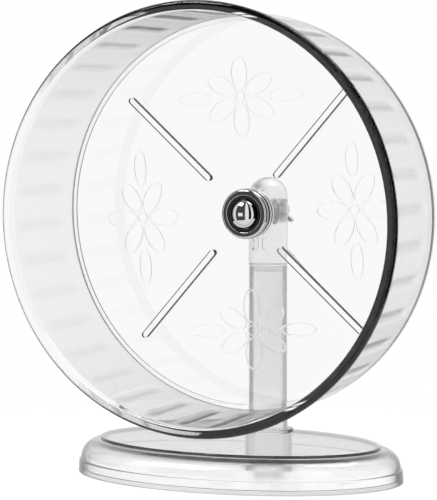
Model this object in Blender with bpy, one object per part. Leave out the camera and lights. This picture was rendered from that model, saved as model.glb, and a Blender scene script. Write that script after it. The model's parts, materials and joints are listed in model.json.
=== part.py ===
# Clear running wheel for a hamster, on a free-standing oval foot.
# Metres, +Z up. The origin is the middle of the foot's underside, the axle lies along Y,
# and the wheel's open side faces -Y.

import math

import bmesh
import bpy
from mathutils import Matrix, Vector

for old in list(bpy.data.objects):
    bpy.data.objects.remove(old, do_unlink=True)


# Driving dimensions

FIT_GAP = 0.0003                # clearance between pieces that seat on or turn in each other
RUNNING_GAP = 0.0009            # between the turning hub and the fixed post head

# Foot: a moulded cover with a raised flat top, closed by a plate from below
BASE_HALF_LENGTH = 0.1054
BASE_HALF_DEPTH = 0.0722
BASE_HEIGHT = 0.0219
BASE_WALL = 0.0026
FLANGE_HEIGHT = 0.0081
FLANGE_DRAFT = 0.0006
SHOULDER_SETBACK = 0.0012       # the shoulder's foot, in from the flange's upper edge
SHOULDER_STRAIGHT = 0.0010
TOP_LEDGE = 0.0009
TOP_INSET = 0.0139              # the flat top's edge, in from the outline on the table
TOP_STEP = 0.0020
PLATE_THICKNESS = 0.0024
PLATE_SEAT = 0.0012             # width of the ledge that the plate is bonded under

# Post: a tube plugged into the foot, with a bracket plugged into its upper end
POST_EDGE = 0.0285              # post axis, in from the foot's back edge
TUBE_RADIUS = 0.0120
TUBE_WALL = 0.0025
COLLAR_WIDTH = 0.0036
COLLAR_HEIGHT = 0.0020
SOCKET_WALL = 0.0024
HEAD_RADIUS = 0.01225
HEAD_RISE = 0.02135             # top of the bracket above the axle
HEAD_DROP = 0.0336              # joint of bracket and tube below the axle
SPIGOT_LENGTH = 0.0040
BOSS_RADIUS = 0.0075
BOSS_REACH = 0.01175
REAR_PAD_RADIUS = 0.0080
REAR_PAD_REACH = 0.0009
POCKET_RADIUS = 0.0030          # two sunk pockets on the bracket's front
POCKET_STRAIGHT = 0.0033        # between a pocket's round ends
POCKET_DEPTH = 0.0009
POCKET_SPREAD = 0.0044
POCKET_DROP = 0.0150            # pocket's upper end below the axle

# Drum: a tapered running track with a rim bead and grip ribs, and a back disc
WHEEL_TURN = math.radians(3.5)  # how far past the diagonals the spokes stand at rest
RIM_RADIUS = 0.1300
RIM_CLEARANCE = 0.0089          # rim above the foot's flat top
BEAD_HEIGHT = 0.0039
BEAD_DEPTH = 0.0036
BEAD_SLOPE = 0.0034             # from the bead's back down to the wall
BEAD_ROUND = 0.0012
TRACK_DEPTH = 0.0755
TRACK_WALL = 0.0020
TRACK_DRAFT = 0.0027            # loss of radius from the rim to the back
RIB_COUNT = 36
RIB_HEIGHT = 0.0005
RIB_RUNOUT = 0.0150             # length of each sloping rib end
RIB_MARGIN_FRONT = 0.0050
RIB_MARGIN_BACK = 0.0060
SEAT_WIDTH = 0.0031             # flat seat that the disc is bonded behind, standing in from the wall
SEAT_THICKNESS = 0.0010
DISC_THICKNESS = 0.0026
DISC_MARGIN = 0.0006            # the disc's edge, out from the wall's inside
SPOKE_COUNT = 4
SPOKE_WIDTH = 0.0068
SPOKE_CREST = 0.0038
SPOKE_HEIGHT = 0.0042
SPOKE_FOOT = 0.0008             # height of the wider foot
SPOKE_HUB_MARGIN = 0.0140
SPOKE_EDGE_MARGIN = 0.0113

# Hub and its ball bearing
HUB_PROUD = 0.0040              # hub face in front of the disc
HUB_WALL = 0.0017
HUB_FLANGE = 0.0025
HUB_ROUND = 0.0018
HUB_STOP = 0.0026               # thickness of the shoulder behind the bearing
HUB_STOP_WIDTH = 0.0033
RING_GROOVE_WIDTH = 0.0014
RING_GROOVE_DEPTH = 0.0010
BEARING_RADIUS = 0.0110
BEARING_BORE = 0.0040           # radius
BEARING_WIDTH = 0.0070
BALL_COUNT = 7
BALL_RADIUS = 0.00198
BALL_GAP = 0.0002
RACE_OPENING = 0.0015           # half the radial space between the two races
SHIELD_THICKNESS = 0.0004
SHIELD_SETBACK = 0.0003
CAGE_WEB = 0.0005
CAGE_HALF_WIDTH = 0.0009
SEAL_WIDTH = 0.0017
SEAL_THICKNESS = 0.0007
SEAL_SETBACK = 0.0003
CLIP_THICKNESS = 0.0008

# Axle and what is fastened on it
FRONT_WASHER = 0.0010           # thickness
CAP_RIM = 0.0009
CAP_RISE = 0.0046
CAP_BORE_DEPTH = 0.0034
SPACER_WALL = 0.0017
THREAD_RADIUS = 0.0027
THREAD_END = 0.0015             # thread that shows past the wing nut
REAR_WASHER = 0.0012            # thickness
REAR_WASHER_WIDTH = 0.0046
NUT_WALL = 0.0030
NUT_LENGTH = 0.0070
WING_SPAN = 0.0240
WING_HEIGHT = 0.0075
WING_THICKNESS = 0.0026
WING_LIFT = 0.0015              # wing root behind the nut's seat
WING_ANGLE = math.radians(45.0)

# Facets
TRACK_STEPS = 3 * RIB_COUNT     # a rib crest and two points beside it
DISC_STEPS = 80
OVAL_STEPS = 56
HUB_STEPS = 36
SMALL_STEPS = 28
ARC_STEPS = 4


# Places worked out from the dimensions above

AXLE_HEIGHT = BASE_HEIGHT + RIM_CLEARANCE + RIM_RADIUS
POST_Y = BASE_HALF_DEPTH - POST_EDGE
PITCH_RADIUS = (BEARING_RADIUS + BEARING_BORE) / 2
AXLE_RADIUS = BEARING_BORE - FIT_GAP
INNER_SHOULDER = PITCH_RADIUS - RACE_OPENING
OUTER_SHOULDER = PITCH_RADIUS + RACE_OPENING
GROOVE_RADIUS = BALL_RADIUS + BALL_GAP
HUB_RECESS = BEARING_RADIUS + FIT_GAP
HUB_NECK = HUB_RECESS + HUB_WALL
HUB_RADIUS = HUB_NECK + HUB_FLANGE
SEAL_INNER = BEARING_RADIUS - SEAL_WIDTH
CAP_RADIUS = SEAL_INNER - FIT_GAP

# Along the axle, from the disc's front face towards the back
HUB_FRONT = -HUB_PROUD
SEAL_FRONT = HUB_FRONT + SEAL_SETBACK
CLIP_FRONT = SEAL_FRONT + SEAL_THICKNESS + FIT_GAP
BEARING_FRONT = CLIP_FRONT + CLIP_THICKNESS + FIT_GAP
BEARING_BACK = BEARING_FRONT + BEARING_WIDTH
BEARING_MIDDLE = BEARING_FRONT + BEARING_WIDTH / 2
WASHER_FRONT = BEARING_FRONT - FIT_GAP - FRONT_WASHER
CAP_BACK = WASHER_FRONT - FIT_GAP
AXLE_FRONT = CAP_BACK - CAP_BORE_DEPTH + FIT_GAP
STOP_FRONT = BEARING_BACK + FIT_GAP
HUB_BACK = STOP_FRONT + HUB_STOP
BOSS_FRONT = HUB_BACK + RUNNING_GAP
POST_OFFSET = BOSS_FRONT + BOSS_REACH + HEAD_RADIUS
REAR_PAD = POST_OFFSET + HEAD_RADIUS + REAR_PAD_REACH
NUT_FRONT = REAR_PAD + FIT_GAP + REAR_WASHER + FIT_GAP
AXLE_BACK = NUT_FRONT + NUT_LENGTH + THREAD_END

AXLE = Vector((0.0, POST_Y - POST_OFFSET, AXLE_HEIGHT))     # axle line at the disc's front face
HEAD_JOINT = AXLE_HEIGHT - HEAD_DROP
TRACK_OUTER = RIM_RADIUS - BEAD_HEIGHT
TRACK_INNER = TRACK_OUTER - TRACK_WALL
SEAT_RADIUS = TRACK_INNER - TRACK_DRAFT - SEAT_WIDTH
DISC_EDGE = TRACK_INNER - TRACK_DRAFT + DISC_MARGIN


# Materials

def material(name, colour, roughness, metallic=0.0, clear=0.0):
    made = bpy.data.materials.new(name)
    made.use_nodes = True
    made.diffuse_color = (*colour, 1.0)
    shader = made.node_tree.nodes["Principled BSDF"]
    shader.inputs["Base Color"].default_value = (*colour, 1.0)
    shader.inputs["Roughness"].default_value = roughness
    shader.inputs["Metallic"].default_value = metallic
    shader.inputs["Transmission Weight"].default_value = clear
    return made


CLEAR_PLASTIC = material("clear_polystyrene", (0.93, 0.95, 0.97), 0.03, clear=0.9)
CHROME = material("chrome_plate", (0.72, 0.73, 0.75), 0.06, metallic=1.0)
STEEL = material("bearing_steel", (0.56, 0.57, 0.58), 0.25, metallic=1.0)
RUBBER = material("black_rubber", (0.015, 0.015, 0.016), 0.55)
NYLON = material("cage_nylon", (0.82, 0.80, 0.74), 0.45)


# Making objects

def finish(name, mesh_builder, stuff, location=(0.0, 0.0, 0.0), parent=None):
    """Turn a bmesh into a named, closed, smooth-shaded object."""
    bmesh.ops.recalc_face_normals(mesh_builder, faces=mesh_builder.faces)
    mesh = bpy.data.meshes.new(name)
    mesh_builder.to_mesh(mesh)
    mesh_builder.free()
    mesh.shade_smooth()
    mesh.set_sharp_from_angle(angle=math.radians(30.0))
    made = bpy.data.objects.new(name, mesh)
    bpy.context.collection.objects.link(made)
    mesh.materials.append(stuff)
    made.location = location
    made.parent = parent
    return made


def guide(made):
    """Keep an object as a tool for a Boolean only."""
    made.hide_render = True
    made.display_type = "WIRE"
    return made


def combine(target, tool, operation):
    modifier = target.modifiers.new(tool.name, "BOOLEAN")
    modifier.object = guide(tool)
    modifier.operation = operation
    modifier.solver = "EXACT"


def spun(outline, steps, along, closed=True):
    """Spin an outline of (radius, place along the axis) about the Y or the Z axis."""
    axis = Vector((0.0, 1.0, 0.0)) if along == "Y" else Vector((0.0, 0.0, 1.0))
    made = bmesh.new()
    chain = [made.verts.new(Vector((radius, 0.0, 0.0)) + axis * place) for radius, place in outline]
    pairs = list(zip(chain, chain[1:]))
    if closed:
        pairs.append((chain[-1], chain[0]))
    edges = [made.edges.new(pair) for pair in pairs]
    bmesh.ops.spin(made, geom=chain + edges, axis=axis, cent=(0.0, 0.0, 0.0),
                   angle=math.tau, steps=steps, use_merge=True)
    bmesh.ops.remove_doubles(made, verts=made.verts, dist=1e-7)
    made.normal_update()
    flat_poles = []
    for vert in made.verts:
        normals = [face.normal for face in vert.link_faces]
        if vert.co.cross(axis).length < 1e-7 and all(normal.dot(normals[0]) > 0.9999 for normal in normals):
            flat_poles.append(vert)
    bmesh.ops.dissolve_verts(made, verts=flat_poles)
    return made


def turned(name, outline, steps, along, stuff, location, parent=None, closed=True):
    return finish(name, spun(outline, steps, along, closed), stuff, location, parent)


def box_ring(inner, outer, front, back):
    """Outline of a plain ring."""
    return [(inner, front), (outer, front), (outer, back), (inner, back)]


def arc(centre, radii, start, end, steps):
    """Points on an elliptical arc in an outline."""
    points = []
    for step in range(steps + 1):
        angle = start + (end - start) * step / steps
        points.append((centre[0] + radii[0] * math.cos(angle), centre[1] + radii[1] * math.sin(angle)))
    return points


def oval_body(name, rings, stuff):
    """Stack oval rings of (inset from the foot's outline, height), with a flat cap at both ends."""
    made = bmesh.new()
    loops = []
    for inset, height in rings:
        loop = []
        for step in range(OVAL_STEPS):
            angle = math.tau * step / OVAL_STEPS
            loop.append(made.verts.new((
                (BASE_HALF_LENGTH - inset) * math.cos(angle),
                (BASE_HALF_DEPTH - inset) * math.sin(angle),
                height)))
        loops.append(loop)
    for lower, upper in zip(loops, loops[1:]):
        for step in range(OVAL_STEPS):
            after = (step + 1) % OVAL_STEPS
            made.faces.new((lower[step], lower[after], upper[after], upper[step]))
    made.faces.new(loops[0])
    made.faces.new(loops[-1])
    return finish(name, made, stuff)


def prism(outline, thickness):
    """Extrude a flat outline in XZ along Y, half to each side."""
    made = bmesh.new()
    face = made.faces.new([made.verts.new((x, -thickness / 2, z)) for x, z in outline])
    grown = bmesh.ops.extrude_face_region(made, geom=[face])["geom"]
    moved = [item for item in grown if isinstance(item, bmesh.types.BMVert)]
    bmesh.ops.translate(made, verts=moved, vec=(0.0, thickness, 0.0))
    return made


def axis_empty(name, location, parent=None):
    made = bpy.data.objects.new(name, None)
    bpy.context.collection.objects.link(made)
    made.location = location
    made.parent = parent
    return made


wheel_axis = axis_empty("wheel_axis", AXLE)
cage_axis = axis_empty("cage_axis", AXLE + Vector((0.0, BEARING_MIDDLE, 0.0)))


# Foot cover: flat raised top, round shoulder, outward flange, and a socket for the post

flange_top = FLANGE_DRAFT
shoulder_foot = FLANGE_DRAFT + SHOULDER_SETBACK
ledge = TOP_INSET - TOP_LEDGE
ledge_height = BASE_HEIGHT - TOP_STEP
shoulder_start = FLANGE_HEIGHT + SHOULDER_STRAIGHT
shoulder = arc((ledge, shoulder_start), (ledge - shoulder_foot, ledge_height - shoulder_start),
               math.pi / 2, math.pi, ARC_STEPS)
under_shoulder = arc((ledge, shoulder_start),
                     (ledge - shoulder_foot - BASE_WALL, ledge_height - shoulder_start - BASE_WALL),
                     math.pi, math.pi / 2, ARC_STEPS)
plate_rebate = shoulder_foot + BASE_WALL - PLATE_SEAT
plate_ledge = PLATE_THICKNESS + FIT_GAP
cover_rings = [(TOP_INSET, BASE_HEIGHT), (TOP_INSET, ledge_height)]
cover_rings += shoulder
cover_rings += [(shoulder_foot, FLANGE_HEIGHT), (flange_top, FLANGE_HEIGHT), (0.0, 0.0)]
cover_rings += [(plate_rebate, 0.0), (plate_rebate, plate_ledge)]
cover_rings += [(plate_rebate + PLATE_SEAT, plate_ledge)]
cover_rings += under_shoulder
cover_rings += [(TOP_INSET + BASE_WALL, ledge_height - BASE_WALL),
                (TOP_INSET + BASE_WALL, BASE_HEIGHT - BASE_WALL)]
base_cover = oval_body("base_cover", cover_rings, CLEAR_PLASTIC)

socket_bore = TUBE_RADIUS + FIT_GAP
socket_outer = socket_bore + SOCKET_WALL
collar_outer = TUBE_RADIUS + COLLAR_WIDTH
collar_top = BASE_HEIGHT + COLLAR_HEIGHT
socket_bottom = plate_ledge
socket_step = BASE_HEIGHT - BASE_WALL / 2
socket_outline = [(0.0, collar_top), (collar_outer, collar_top), (collar_outer, socket_step),
                  (socket_outer, socket_step), (socket_outer, socket_bottom), (0.0, socket_bottom)]
post_foot = (0.0, POST_Y, 0.0)
socket_boss = turned("socket_boss", socket_outline, SMALL_STEPS, "Z", CLEAR_PLASTIC, post_foot,
                     closed=False)
bore_outline = [(0.0, collar_top + BASE_WALL), (socket_bore, collar_top + BASE_WALL),
                (socket_bore, socket_bottom - BASE_WALL), (0.0, socket_bottom - BASE_WALL)]
socket_hole = turned("socket_hole", bore_outline, SMALL_STEPS, "Z", CLEAR_PLASTIC, post_foot, closed=False)
combine(base_cover, socket_boss, "UNION")
combine(base_cover, socket_hole, "DIFFERENCE")


# Foot plate: closes the cover from below and carries the tube's lower end

plate_inset = plate_rebate + FIT_GAP
oval_body("base_plate", [(plate_inset, PLATE_THICKNESS), (plate_inset, 0.0)], CLEAR_PLASTIC)


# Post tube

tube_bottom = PLATE_THICKNESS + FIT_GAP
tube_top = HEAD_JOINT - FIT_GAP
tube_bore = TUBE_RADIUS - TUBE_WALL
turned("post_tube", box_ring(tube_bore, TUBE_RADIUS, tube_bottom, tube_top), SMALL_STEPS, "Z",
       CLEAR_PLASTIC, post_foot)


# Post head: domed bracket with a spigot in the tube, a boss for the axle and a pad at the back

spigot = tube_bore - FIT_GAP
spigot_bottom = HEAD_JOINT - SPIGOT_LENGTH
dome_base = AXLE_HEIGHT + HEAD_RISE - HEAD_RADIUS
head_outline = [(0.0, spigot_bottom), (spigot, spigot_bottom), (spigot, HEAD_JOINT), (HEAD_RADIUS, HEAD_JOINT)]
dome = arc((0.0, dome_base), (HEAD_RADIUS, HEAD_RADIUS), 0.0, math.pi / 2, ARC_STEPS + 2)
head_outline += dome[:-1]
head_outline.append((0.0, dome_base + HEAD_RADIUS))
post_head = turned("post_head", head_outline, SMALL_STEPS, "Z", CLEAR_PLASTIC, post_foot, closed=False)


def rod(name, radius, front, back):
    """A plain round bar on the axle's line."""
    outline = [(0.0, front), (radius, front), (radius, back), (0.0, back)]
    return turned(name, outline, SMALL_STEPS, "Y", CLEAR_PLASTIC, AXLE, closed=False)


combine(post_head, rod("head_boss", BOSS_RADIUS, BOSS_FRONT, POST_OFFSET), "UNION")
combine(post_head, rod("head_pad", REAR_PAD_RADIUS, POST_OFFSET, REAR_PAD), "UNION")
thread_hole = THREAD_RADIUS + FIT_GAP
head_bore = rod("head_bore", thread_hole, BOSS_FRONT - BOSS_REACH, REAR_PAD + BOSS_REACH)
combine(post_head, head_bore, "DIFFERENCE")

pocket_top = AXLE_HEIGHT - POCKET_DROP - POCKET_RADIUS
pocket_bottom = pocket_top - POCKET_STRAIGHT
pocket_radii = (POCKET_RADIUS, POCKET_RADIUS)
for side, spread in (("left", -POCKET_SPREAD), ("right", POCKET_SPREAD)):
    pocket_outline = arc((spread, pocket_top), pocket_radii, 0.0, math.pi, ARC_STEPS)
    pocket_outline += arc((spread, pocket_bottom), pocket_radii, math.pi, math.tau, ARC_STEPS)
    pocket_floor = math.sqrt(HEAD_RADIUS ** 2 - POCKET_SPREAD ** 2) - POCKET_DEPTH
    pocket_place = (0.0, POST_Y - pocket_floor - HEAD_RADIUS / 2, 0.0)
    pocket = finish("pocket_" + side, prism(pocket_outline, HEAD_RADIUS), CLEAR_PLASTIC, pocket_place)
    combine(post_head, pocket, "DIFFERENCE")


# Running track: rim bead in front, grip ribs inside, and a flat seat for the disc at the back

def track_radius(depth):
    """Inner radius of the track at a depth behind the rim's front face."""
    return TRACK_INNER - TRACK_DRAFT * depth / TRACK_DEPTH


rim_front = -TRACK_DEPTH
seat_back = -FIT_GAP
seat_front = seat_back - SEAT_THICKNESS
track_back = DISC_THICKNESS
track_rear_outer = TRACK_OUTER - TRACK_DRAFT
rib_start = RIB_MARGIN_FRONT
rib_end = TRACK_DEPTH - RIB_MARGIN_BACK
rib_rows = (rib_start + RIB_RUNOUT, rib_end - RIB_RUNOUT)
track_outline = [
    (TRACK_INNER + BEAD_ROUND, rim_front),
    (RIM_RADIUS - BEAD_ROUND, rim_front),
    (RIM_RADIUS, rim_front + BEAD_ROUND),
    (RIM_RADIUS, rim_front + BEAD_DEPTH),
    (TRACK_OUTER, rim_front + BEAD_DEPTH + BEAD_SLOPE),
    (track_rear_outer, track_back),
    (DISC_EDGE + FIT_GAP, track_back),
    (DISC_EDGE + FIT_GAP, seat_back),
    (SEAT_RADIUS, seat_back),
    (SEAT_RADIUS, seat_front),
]
for row in (seat_front - rim_front, rib_end, rib_rows[1], rib_rows[0], rib_start, BEAD_ROUND):
    track_outline.append((track_radius(row), rim_front + row))
track_mesh = spun(track_outline, TRACK_STEPS, "Y")
rib_pitch = math.tau / RIB_COUNT
for vert in track_mesh.verts:
    depth = vert.co.y - rim_front
    radius = math.hypot(vert.co.x, vert.co.z)
    turn = math.atan2(vert.co.z, vert.co.x) / rib_pitch
    on_crest_row = any(abs(depth - row) < FIT_GAP for row in rib_rows)
    on_crest_line = abs(turn - round(turn)) < 1 / TRACK_STEPS
    if on_crest_row and on_crest_line and radius < track_radius(depth) + FIT_GAP:
        shrink = (radius - RIB_HEIGHT) / radius
        vert.co.x *= shrink
        vert.co.z *= shrink
at_rest = Matrix.Rotation(-WHEEL_TURN, 3, "Y")
bmesh.ops.rotate(track_mesh, verts=track_mesh.verts, cent=(0.0, 0.0, 0.0), matrix=at_rest)
finish("running_track", track_mesh, CLEAR_PLASTIC, parent=wheel_axis)


# Back disc with four moulded spokes on its front

disc_hole = HUB_NECK + FIT_GAP
back_disc = turned("back_disc", box_ring(disc_hole, DISC_EDGE, 0.0, DISC_THICKNESS), DISC_STEPS, "Y",
                   CLEAR_PLASTIC, (0.0, 0.0, 0.0), wheel_axis)
spoke_start = HUB_RADIUS + SPOKE_HUB_MARGIN
spoke_end = SEAT_RADIUS - SPOKE_EDGE_MARGIN


def spoke_loop(made, width, height, angle):
    """A long outline with round ends, lying along a spoke."""
    half = width / 2
    ends = arc((spoke_end - SPOKE_WIDTH / 2, 0.0), (half, half), -math.pi / 2, math.pi / 2, ARC_STEPS)
    ends += arc((spoke_start + SPOKE_WIDTH / 2, 0.0), (half, half), math.pi / 2, 3 * math.pi / 2, ARC_STEPS)
    spin = Matrix.Rotation(angle, 3, "Y")
    return [made.verts.new(spin @ Vector((x, height, z))) for x, z in ends]


for number in range(SPOKE_COUNT):
    angle = math.tau * (number + 0.5) / SPOKE_COUNT - WHEEL_TURN
    spoke = bmesh.new()
    loops = [spoke_loop(spoke, SPOKE_WIDTH, DISC_THICKNESS / 2, angle),
             spoke_loop(spoke, SPOKE_WIDTH, 0.0, angle),
             spoke_loop(spoke, SPOKE_CREST + 2 * FIT_GAP, -SPOKE_FOOT, angle),
             spoke_loop(spoke, SPOKE_CREST, -SPOKE_HEIGHT, angle)]
    for lower, upper in zip(loops, loops[1:]):
        for one in range(len(lower)):
            two = (one + 1) % len(lower)
            spoke.faces.new((lower[one], lower[two], upper[two], upper[one]))
    spoke.faces.new(loops[0])
    spoke.faces.new(loops[-1])
    tool = finish("spoke_%d" % (number + 1), spoke, CLEAR_PLASTIC, parent=wheel_axis)
    combine(back_disc, tool, "UNION")


# Hub housing, put through the disc from the front, and the ring screwed on behind it

stop_inner = HUB_RECESS - HUB_STOP_WIDTH
hub_outline = [(HUB_RECESS + FIT_GAP, HUB_FRONT)]
hub_outline += arc((HUB_RADIUS - HUB_ROUND, HUB_FRONT + HUB_ROUND), (HUB_ROUND, HUB_ROUND),
                   -math.pi / 2, 0.0, ARC_STEPS - 1)
hub_outline += [(HUB_RADIUS, -FIT_GAP), (HUB_NECK, -FIT_GAP), (HUB_NECK, HUB_BACK), (stop_inner, HUB_BACK),
                (stop_inner, STOP_FRONT), (HUB_RECESS, STOP_FRONT), (HUB_RECESS, HUB_FRONT + FIT_GAP)]
turned("hub_housing", hub_outline, HUB_STEPS, "Y", CHROME, (0.0, 0.0, 0.0), wheel_axis)

ring_front = DISC_THICKNESS + FIT_GAP
groove_middle = (ring_front + HUB_BACK) / 2
ring_outline = [(disc_hole, ring_front), (HUB_RADIUS, ring_front),
                (HUB_RADIUS, groove_middle - RING_GROOVE_WIDTH / 2),
                (HUB_RADIUS - RING_GROOVE_DEPTH, groove_middle - RING_GROOVE_WIDTH / 2),
                (HUB_RADIUS - RING_GROOVE_DEPTH, groove_middle + RING_GROOVE_WIDTH / 2),
                (HUB_RADIUS, groove_middle + RING_GROOVE_WIDTH / 2),
                (HUB_RADIUS, HUB_BACK), (disc_hole, HUB_BACK)]
turned("hub_ring_nut", ring_outline, HUB_STEPS, "Y", CHROME, (0.0, 0.0, 0.0), wheel_axis)


# Ball bearing: two grooved races, two shields, a crown cage and its balls

groove_angle = math.acos(RACE_OPENING / GROOVE_RADIUS)
race_ends = (BEARING_FRONT, BEARING_BACK)
inner_groove = arc((PITCH_RADIUS, BEARING_MIDDLE), (GROOVE_RADIUS, GROOVE_RADIUS),
                   math.pi + groove_angle, math.pi - groove_angle, ARC_STEPS)
inner_race = [(BEARING_BORE, race_ends[0]), (INNER_SHOULDER, race_ends[0])]
inner_race += inner_groove
inner_race += [(INNER_SHOULDER, race_ends[1]), (BEARING_BORE, race_ends[1])]
turned("bearing_inner_race", inner_race, SMALL_STEPS, "Y", STEEL, AXLE)

outer_groove = arc((PITCH_RADIUS, BEARING_MIDDLE), (GROOVE_RADIUS, GROOVE_RADIUS),
                   groove_angle, -groove_angle, ARC_STEPS)
outer_race = [(BEARING_RADIUS, race_ends[0]), (BEARING_RADIUS, race_ends[1]),
              (OUTER_SHOULDER, race_ends[1])]
outer_race += outer_groove
outer_race += [(OUTER_SHOULDER, race_ends[0])]
turned("bearing_outer_race", outer_race, SMALL_STEPS, "Y", STEEL, (0.0, 0.0, 0.0), wheel_axis)

shield_inner = INNER_SHOULDER + FIT_GAP
shield_outer = OUTER_SHOULDER - FIT_GAP
front_face = BEARING_FRONT + SHIELD_SETBACK
rear_face = BEARING_BACK - SHIELD_SETBACK - SHIELD_THICKNESS
for end, face in (("front", front_face), ("rear", rear_face)):
    outline = box_ring(shield_inner, shield_outer, face, face + SHIELD_THICKNESS)
    turned("bearing_%s_shield" % end, outline, SMALL_STEPS, "Y", STEEL, (0.0, 0.0, 0.0), wheel_axis)

cage_outline = box_ring(PITCH_RADIUS - CAGE_HALF_WIDTH, PITCH_RADIUS + CAGE_HALF_WIDTH,
                        -CAGE_WEB, GROOVE_RADIUS + CAGE_WEB)
cage = turned("bearing_cage", cage_outline, 4 * BALL_COUNT, "Y", NYLON, (0.0, 0.0, 0.0), cage_axis)
for number in range(BALL_COUNT):
    angle = math.tau * number / BALL_COUNT
    place = Vector((PITCH_RADIUS * math.cos(angle), 0.0, PITCH_RADIUS * math.sin(angle)))
    for name, radius, stuff in (("ball_%d", BALL_RADIUS, STEEL), ("ball_pocket_%d", GROOVE_RADIUS, NYLON)):
        sphere = bmesh.new()
        bmesh.ops.create_uvsphere(sphere, u_segments=10, v_segments=6, radius=radius)
        made = finish(name % (number + 1), sphere, stuff, place, cage_axis)
        if stuff == NYLON:
            combine(cage, made, "DIFFERENCE")

clip_outline = box_ring(SEAL_INNER, BEARING_RADIUS, CLIP_FRONT, CLIP_FRONT + CLIP_THICKNESS)
turned("bearing_retaining_ring", clip_outline, SMALL_STEPS, "Y", STEEL, (0.0, 0.0, 0.0), wheel_axis)
seal_outline = box_ring(SEAL_INNER, BEARING_RADIUS, SEAL_FRONT, SEAL_FRONT + SEAL_THICKNESS)
turned("hub_dust_seal", seal_outline, SMALL_STEPS, "Y", RUBBER, (0.0, 0.0, 0.0), wheel_axis)


# Axle, with the nuts, washers and sleeve on it

spacer_front = BEARING_BACK + FIT_GAP
spacer_back = BOSS_FRONT - FIT_GAP
axle_outline = [(0.0, AXLE_FRONT), (AXLE_RADIUS, AXLE_FRONT), (AXLE_RADIUS, spacer_back),
                (THREAD_RADIUS, spacer_back), (THREAD_RADIUS, AXLE_BACK), (0.0, AXLE_BACK)]
turned("axle", axle_outline, SMALL_STEPS, "Y", STEEL, AXLE, closed=False)
turned("front_washer", box_ring(BEARING_BORE, INNER_SHOULDER, WASHER_FRONT, WASHER_FRONT + FRONT_WASHER),
       SMALL_STEPS, "Y", STEEL, AXLE)
turned("axle_spacer", box_ring(BEARING_BORE, BEARING_BORE + SPACER_WALL, spacer_front, spacer_back),
       SMALL_STEPS, "Y", STEEL, AXLE)

cap_shoulder = CAP_BACK - CAP_RIM
cap_bore_end = CAP_BACK - CAP_BORE_DEPTH
cap_outline = [(0.0, cap_bore_end), (BEARING_BORE, cap_bore_end), (BEARING_BORE, CAP_BACK),
               (CAP_RADIUS, CAP_BACK)]
cap_dome = arc((0.0, cap_shoulder), (CAP_RADIUS, CAP_RISE), 0.0, -math.pi / 2, ARC_STEPS + 1)
cap_outline += cap_dome[:-1]
cap_outline.append((0.0, cap_shoulder - CAP_RISE))
turned("axle_cap_nut", cap_outline, SMALL_STEPS, "Y", CHROME, AXLE, closed=False)

washer_front = REAR_PAD + FIT_GAP
turned("rear_washer",
       box_ring(thread_hole, thread_hole + REAR_WASHER_WIDTH, washer_front, washer_front + REAR_WASHER),
       SMALL_STEPS, "Y", STEEL, AXLE)

nut_axis = axis_empty("nut_axis", AXLE + Vector((0.0, NUT_FRONT, 0.0)))
nut_outer = thread_hole + NUT_WALL
wing_nut = turned("wing_nut", box_ring(thread_hole, nut_outer, 0.0, NUT_LENGTH), SMALL_STEPS, "Y", CHROME,
                  (0.0, 0.0, 0.0), nut_axis)
wing_root = thread_hole + NUT_WALL / 2
wing_tip = WING_SPAN / 2
tip_radius = WING_HEIGHT / 3
wing_outline = [(wing_root, WING_LIFT), (nut_outer, WING_LIFT)]
wing_outline += arc((wing_tip - tip_radius, WING_LIFT + WING_HEIGHT - tip_radius), (tip_radius, tip_radius),
                    -math.pi / 4, 3 * math.pi / 4, ARC_STEPS)
wing_outline += [(wing_root, NUT_LENGTH - WING_LIFT)]
for number in range(2):
    blade = prism(wing_outline, WING_THICKNESS)
    stand_up = Matrix.Rotation(math.pi / 2, 3, "X") @ Matrix.Scale(-1.0, 3, Vector((0.0, 0.0, 1.0)))
    aim = Matrix.Rotation(WING_ANGLE + math.pi * number, 3, "Y")
    bmesh.ops.transform(blade, matrix=(aim @ stand_up).to_4x4(), verts=blade.verts)
    combine(wing_nut, finish("wing_%d" % (number + 1), blade, CHROME, parent=nut_axis), "UNION")
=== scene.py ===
# Clear running wheel on an oval foot: the finished surfaces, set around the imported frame.
# Metres, +Z up, the axle along Y, the wheel's open side towards -Y.

import json
import math

import bpy
from mathutils import Matrix, Vector


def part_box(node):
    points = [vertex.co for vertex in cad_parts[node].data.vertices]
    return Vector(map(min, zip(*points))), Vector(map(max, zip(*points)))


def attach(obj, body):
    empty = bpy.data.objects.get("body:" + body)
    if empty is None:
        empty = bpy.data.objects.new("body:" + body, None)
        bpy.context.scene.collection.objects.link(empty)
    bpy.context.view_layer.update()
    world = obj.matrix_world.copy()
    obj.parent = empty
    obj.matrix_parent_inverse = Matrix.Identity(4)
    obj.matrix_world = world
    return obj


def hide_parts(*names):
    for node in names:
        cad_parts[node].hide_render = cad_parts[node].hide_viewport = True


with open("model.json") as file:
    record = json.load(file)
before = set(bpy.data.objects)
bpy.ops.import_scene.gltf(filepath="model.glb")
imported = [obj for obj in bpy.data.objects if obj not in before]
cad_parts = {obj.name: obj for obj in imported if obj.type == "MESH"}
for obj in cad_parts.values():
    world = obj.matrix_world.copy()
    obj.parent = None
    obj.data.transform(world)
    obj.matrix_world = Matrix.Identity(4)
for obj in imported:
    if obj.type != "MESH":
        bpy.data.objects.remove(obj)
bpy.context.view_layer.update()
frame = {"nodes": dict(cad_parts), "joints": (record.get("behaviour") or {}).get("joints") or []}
MM = 0.001


# Foot cover: an oval moulding in clear polystyrene with a raised flat top, a round shoulder and a flange that
# stands on the table. The socket that takes the post is moulded in one with it, with a low collar on top.

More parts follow.
